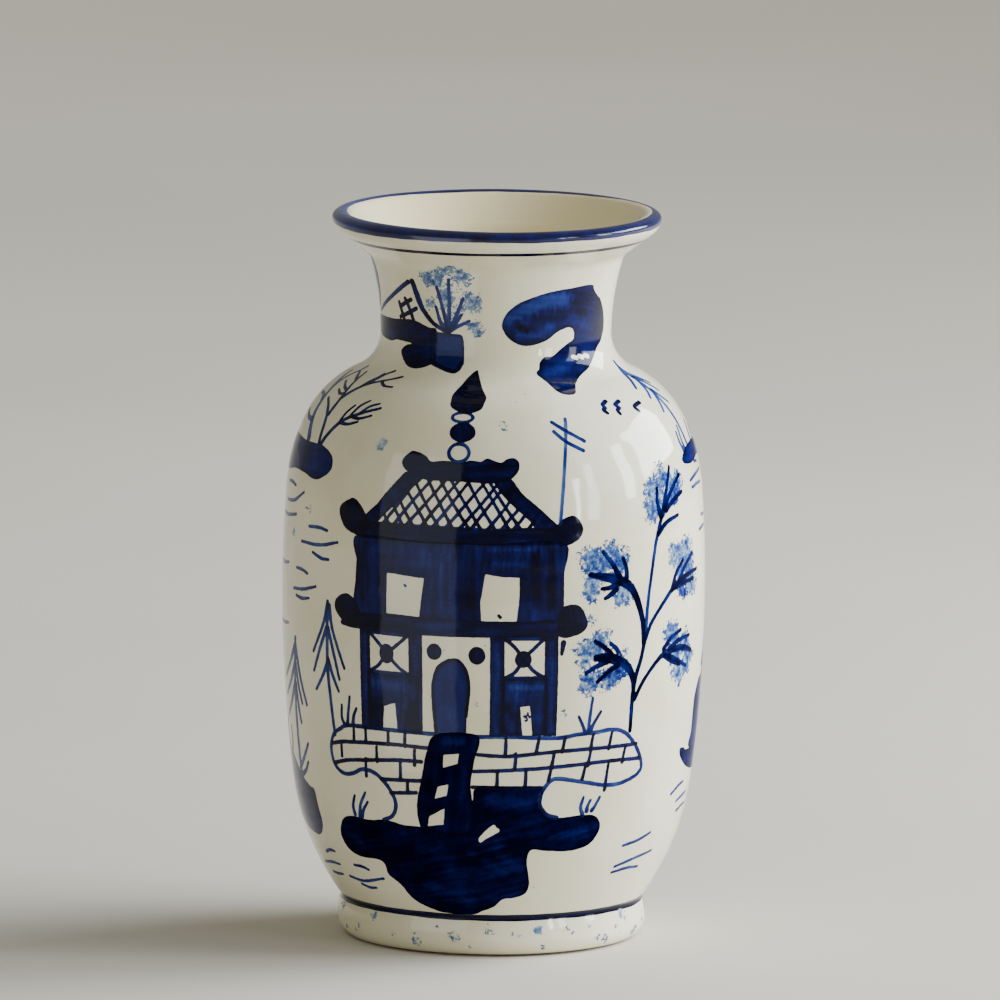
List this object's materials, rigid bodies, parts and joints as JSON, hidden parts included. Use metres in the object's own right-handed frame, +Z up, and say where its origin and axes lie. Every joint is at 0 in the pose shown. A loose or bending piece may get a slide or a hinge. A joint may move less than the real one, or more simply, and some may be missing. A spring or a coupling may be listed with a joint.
{
  "type": "talavera pottery vase",
  "caption": "Baluster vase of glazed earthenware with a flared mouth, short neck, high shoulder and foot ring, painted in cobalt blue; holds flowers or stands alone.",
  "frame": {"origin": "centre of the foot ring's footprint, on the surface the vase stands on", "axes": "+Z up along the vase's axis; -Y faces the viewer of the painted front with the pavilion, +X is that viewer's right"},
  "size_m": [0.1742, 0.1742, 0.3002],
  "materials": {
    "clay": "unglazed buff earthenware",
    "white_glaze": "glossy cream-white tin glaze",
    "cobalt": "glossy hand-brushed cobalt blue"
  },
  "bodies": {
    "root": {"foot_ring": "clay", "base_floor": "clay", "lower_belly": "clay", "upper_belly": "clay", "neck": "clay", "flared_lip": "clay", "outer_glaze": "white_glaze", "inner_glaze": "white_glaze", "rim_band": "cobalt", "lip_line": "cobalt", "base_line": "cobalt"}
  },
  "joints": []
}
